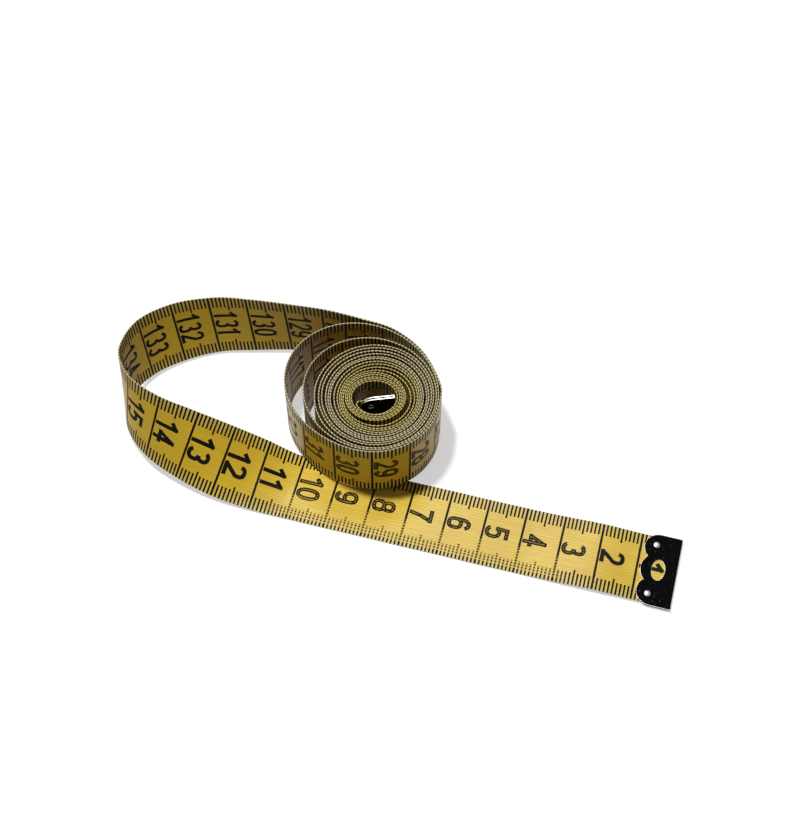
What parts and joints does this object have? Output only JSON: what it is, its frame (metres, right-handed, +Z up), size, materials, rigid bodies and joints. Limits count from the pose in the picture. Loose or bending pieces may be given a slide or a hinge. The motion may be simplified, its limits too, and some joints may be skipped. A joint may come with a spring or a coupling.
{
  "type": "cloth tape measure",
  "caption": "Flexible cloth tape measure, partly unrolled: a printed ribbon lies flat, turns up on edge in a loop and runs into a coil, with a folded metal clip on each end.",
  "frame": {"origin": "on the table, at the middle of the part's footprint", "axes": "+X along the flat stretch towards the zero clip, +Y away from the viewer across the loop, +Z up from the table"},
  "size_m": [0.1459, 0.0817, 0.0219],
  "materials": {
    "tape": "coated woven ribbon, yellow with black print, satin",
    "clip": "black gloss enamel on folded sheet steel",
    "rivet": "bright plated steel"
  },
  "bodies": {
    "front": {"tape_front": "tape", "tape_twist": "tape"},
    "zero_end": {"tape_zero_end": "tape", "zero_clip": "clip", "zero_clip_rivet_far": "rivet", "zero_clip_rivet_near": "rivet"},
    "loop": {"tape_turn": "tape", "tape_back": "tape"},
    "coil": {"tape_coil": "tape", "core_clip": "clip", "core_clip_rivet_lower": "rivet", "core_clip_rivet_upper": "rivet"}
  },
  "joints": [
    {"name": "zero_end_lift", "type": "hinge", "parent": "front", "child": "zero_end", "pos_m": [0.02183, -0.01879, 0.00023], "axis": [-0.2449, -0.9695, 0], "range_deg": [0, 70]},
    {"name": "loop_open", "type": "hinge", "parent": "front", "child": "loop", "pos_m": [-0.07264, 0.01593, 0], "axis": [0, 0, 1], "range_deg": [0, 35]},
    {"name": "coil_swing", "type": "hinge", "parent": "loop", "child": "coil", "pos_m": [-0.0103, 0.0343, 0], "axis": [0, 0, 1], "range_deg": [0, 45]}
  ]
}
